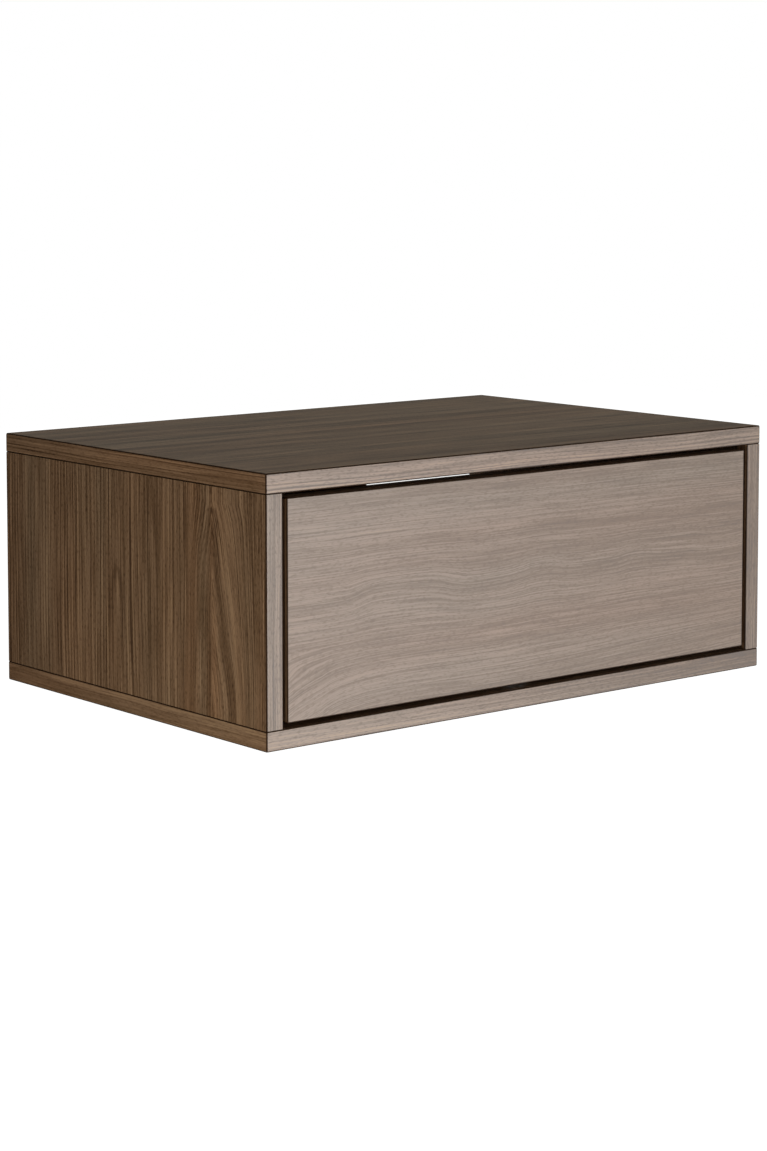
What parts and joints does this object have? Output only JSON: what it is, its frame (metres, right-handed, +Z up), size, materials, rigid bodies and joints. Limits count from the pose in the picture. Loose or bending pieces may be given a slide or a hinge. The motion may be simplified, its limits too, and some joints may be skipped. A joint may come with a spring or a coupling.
{
  "type": "floating nightstand",
  "caption": "Wall-hung nightstand: a low rectangular board case with square edges, hung on a bevelled wall cleat, and an inset push-to-open drawer on ball-bearing slides.",
  "frame": {"origin": "centre of the wall cleat's back face, on the wall plane", "axes": "+X to the right seen from the front, +Y towards the wall, +Z up"},
  "size_m": [0.6, 0.407, 0.236],
  "materials": {
    "walnut_veneer": "walnut veneer on board, matt lacquer",
    "walnut_back": "thin walnut-faced board",
    "birch_ply": "birch plywood, clear matt lacquer",
    "cleat_ply": "raw plywood",
    "beech": "raw fluted beech",
    "zinc_steel": "zinc-plated pressed steel",
    "cast_zinc": "die-cast zinc",
    "bearing_steel": "bright steel cage and balls with a trace of grease",
    "grey_plastic": "moulded grey plastic",
    "black_rubber": "soft black buffer"
  },
  "bodies": {
    "cabinet": {"top_panel": "walnut_veneer", "bottom_panel": "walnut_veneer", "side_panel_left": "walnut_veneer", "side_panel_right": "walnut_veneer", "back_panel": "walnut_back", "wall_cleat": "cleat_ply", "cabinet_cleat": "cleat_ply", "cleat_screw_left": "zinc_steel", "cleat_screw_right": "zinc_steel", "cam_bolt_left_bottom_front": "zinc_steel", "cam_bolt_left_bottom_rear": "zinc_steel", "cam_bolt_left_top_front": "zinc_steel", "cam_bolt_left_top_rear": "zinc_steel", "cam_bolt_right_bottom_front": "zinc_steel", "cam_bolt_right_bottom_rear": "zinc_steel", "cam_bolt_right_top_front": "zinc_steel", "cam_bolt_right_top_rear": "zinc_steel", "cam_left_bottom_front": "cast_zinc", "cam_left_bottom_rear": "cast_zinc", "cam_left_top_front": "cast_zinc", "cam_left_top_rear": "cast_zinc", "cam_right_bottom_front": "cast_zinc", "cam_right_bottom_rear": "cast_zinc", "cam_right_top_front": "cast_zinc", "cam_right_top_rear": "cast_zinc", "dowel_left_bottom": "beech", "dowel_left_top": "beech", "dowel_right_bottom": "beech", "dowel_right_top": "beech", "slide_cabinet_member_left": "zinc_steel", "slide_cabinet_member_right": "zinc_steel", "slide_screw_cabinet_left_front": "zinc_steel", "slide_screw_cabinet_left_rear": "zinc_steel", "slide_screw_cabinet_right_front": "zinc_steel", "slide_screw_cabinet_right_rear": "zinc_steel", "latch_housing": "grey_plastic", "latch_spring": "zinc_steel"},
    "latch_plunger": {"latch_plunger": "grey_plastic", "latch_tip": "black_rubber"},
    "drawer": {"drawer_front": "walnut_veneer", "drawer_box_front": "birch_ply", "drawer_box_back": "birch_ply", "drawer_box_side_left": "birch_ply", "drawer_box_side_right": "birch_ply", "drawer_box_floor": "birch_ply", "drawer_front_screw_left": "zinc_steel", "drawer_front_screw_right": "zinc_steel", "slide_drawer_member_left": "zinc_steel", "slide_drawer_member_right": "zinc_steel", "slide_screw_drawer_left_front": "zinc_steel", "slide_screw_drawer_left_rear": "zinc_steel", "slide_screw_drawer_right_front": "zinc_steel", "slide_screw_drawer_right_rear": "zinc_steel", "latch_strike": "zinc_steel"},
    "middle_member_left": {"slide_middle_member_left": "zinc_steel"},
    "middle_member_right": {"slide_middle_member_right": "zinc_steel"},
    "outer_cage_left": {"slide_outer_cage_left": "bearing_steel"},
    "outer_cage_right": {"slide_outer_cage_right": "bearing_steel"},
    "inner_cage_left": {"slide_inner_cage_left": "bearing_steel"},
    "inner_cage_right": {"slide_inner_cage_right": "bearing_steel"}
  },
  "joints": [
    {"name": "latch_press", "type": "slide", "parent": "cabinet", "child": "latch_plunger", "axis": [0, -1, 0], "range_m": [-0.003, 0.035], "deforming": ["latch_spring"]},
    {"name": "drawer_slide", "type": "slide", "parent": "latch_plunger", "child": "drawer", "axis": [0, -1, 0], "range_m": [0, 0.315]},
    {"name": "middle_travel_left", "type": "slide", "parent": "cabinet", "child": "middle_member_left", "axis": [0, -1, 0], "range_m": [0, 0.1575]},
    {"name": "middle_travel_right", "type": "slide", "parent": "cabinet", "child": "middle_member_right", "axis": [0, -1, 0], "range_m": [0, 0.1575]},
    {"name": "outer_cage_travel_left", "type": "slide", "parent": "cabinet", "child": "outer_cage_left", "axis": [0, -1, 0], "range_m": [0, 0.07875]},
    {"name": "outer_cage_travel_right", "type": "slide", "parent": "cabinet", "child": "outer_cage_right", "axis": [0, -1, 0], "range_m": [0, 0.07875]},
    {"name": "inner_cage_travel_left", "type": "slide", "parent": "cabinet", "child": "inner_cage_left", "axis": [0, -1, 0], "range_m": [0, 0.23625]},
    {"name": "inner_cage_travel_right", "type": "slide", "parent": "cabinet", "child": "inner_cage_right", "axis": [0, -1, 0], "range_m": [0, 0.23625]}
  ],
  "couplings": [
    {"joint": "middle_travel_left", "follows": "drawer_slide", "ratio": 0.5},
    {"joint": "middle_travel_right", "follows": "drawer_slide", "ratio": 0.5},
    {"joint": "outer_cage_travel_left", "follows": "drawer_slide", "ratio": 0.25},
    {"joint": "outer_cage_travel_right", "follows": "drawer_slide", "ratio": 0.25},
    {"joint": "inner_cage_travel_left", "follows": "drawer_slide", "ratio": 0.75},
    {"joint": "inner_cage_travel_right", "follows": "drawer_slide", "ratio": 0.75}
  ]
}
